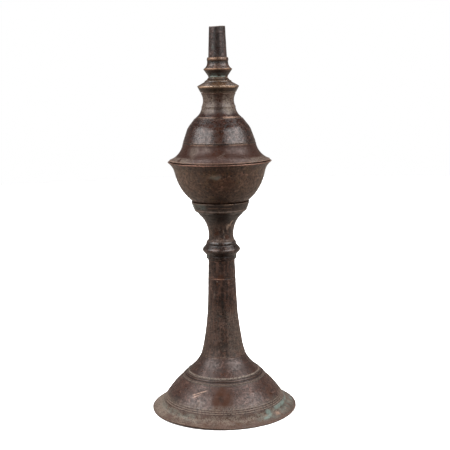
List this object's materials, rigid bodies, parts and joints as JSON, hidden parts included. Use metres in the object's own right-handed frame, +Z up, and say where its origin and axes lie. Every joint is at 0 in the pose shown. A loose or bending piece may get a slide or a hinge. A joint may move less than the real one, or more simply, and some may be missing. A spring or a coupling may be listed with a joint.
{
  "type": "oil lamp",
  "caption": "Tall pedestal oil lamp in turned bronze: domed foot, tapered stem, round oil bowl, lift-off bell lid and a lift-out burner with a tall wick tube.",
  "frame": {"origin": "centre of the circle that the foot's rim stands on", "axes": "+Z up along the lamp's turning axis, towards the wick tube; +X to the right and -Y to the front as seen by the viewer"},
  "size_m": [0.1224, 0.1224, 0.318],
  "materials": {
    "patinated_bronze": "satin, dark brown patina with rubbed coppery edges",
    "dark_iron": "matt, rusted",
    "seal_leather": "oiled, matt"
  },
  "bodies": {
    "base": {"foot": "patinated_bronze", "stem": "patinated_bronze", "stem_knop": "patinated_bronze", "bowl_pedestal": "patinated_bronze", "bowl_foot_ring": "patinated_bronze", "oil_bowl": "patinated_bronze", "bowl_washer": "seal_leather", "tie_bolt": "dark_iron", "foot_washer": "dark_iron", "foot_nut": "dark_iron"},
    "lid": {"lid": "patinated_bronze", "lid_locating_ring": "patinated_bronze"},
    "burner": {"burner_cap": "patinated_bronze", "burner_collar": "patinated_bronze", "wick_tube": "patinated_bronze"}
  },
  "joints": [
    {"name": "lid_lift", "type": "slide", "parent": "base", "child": "lid", "axis": [0, 0, 1], "range_m": [0, 0.06]},
    {"name": "burner_lift", "type": "slide", "parent": "lid", "child": "burner", "axis": [0, 0, 1], "range_m": [0, 0.03]}
  ]
}
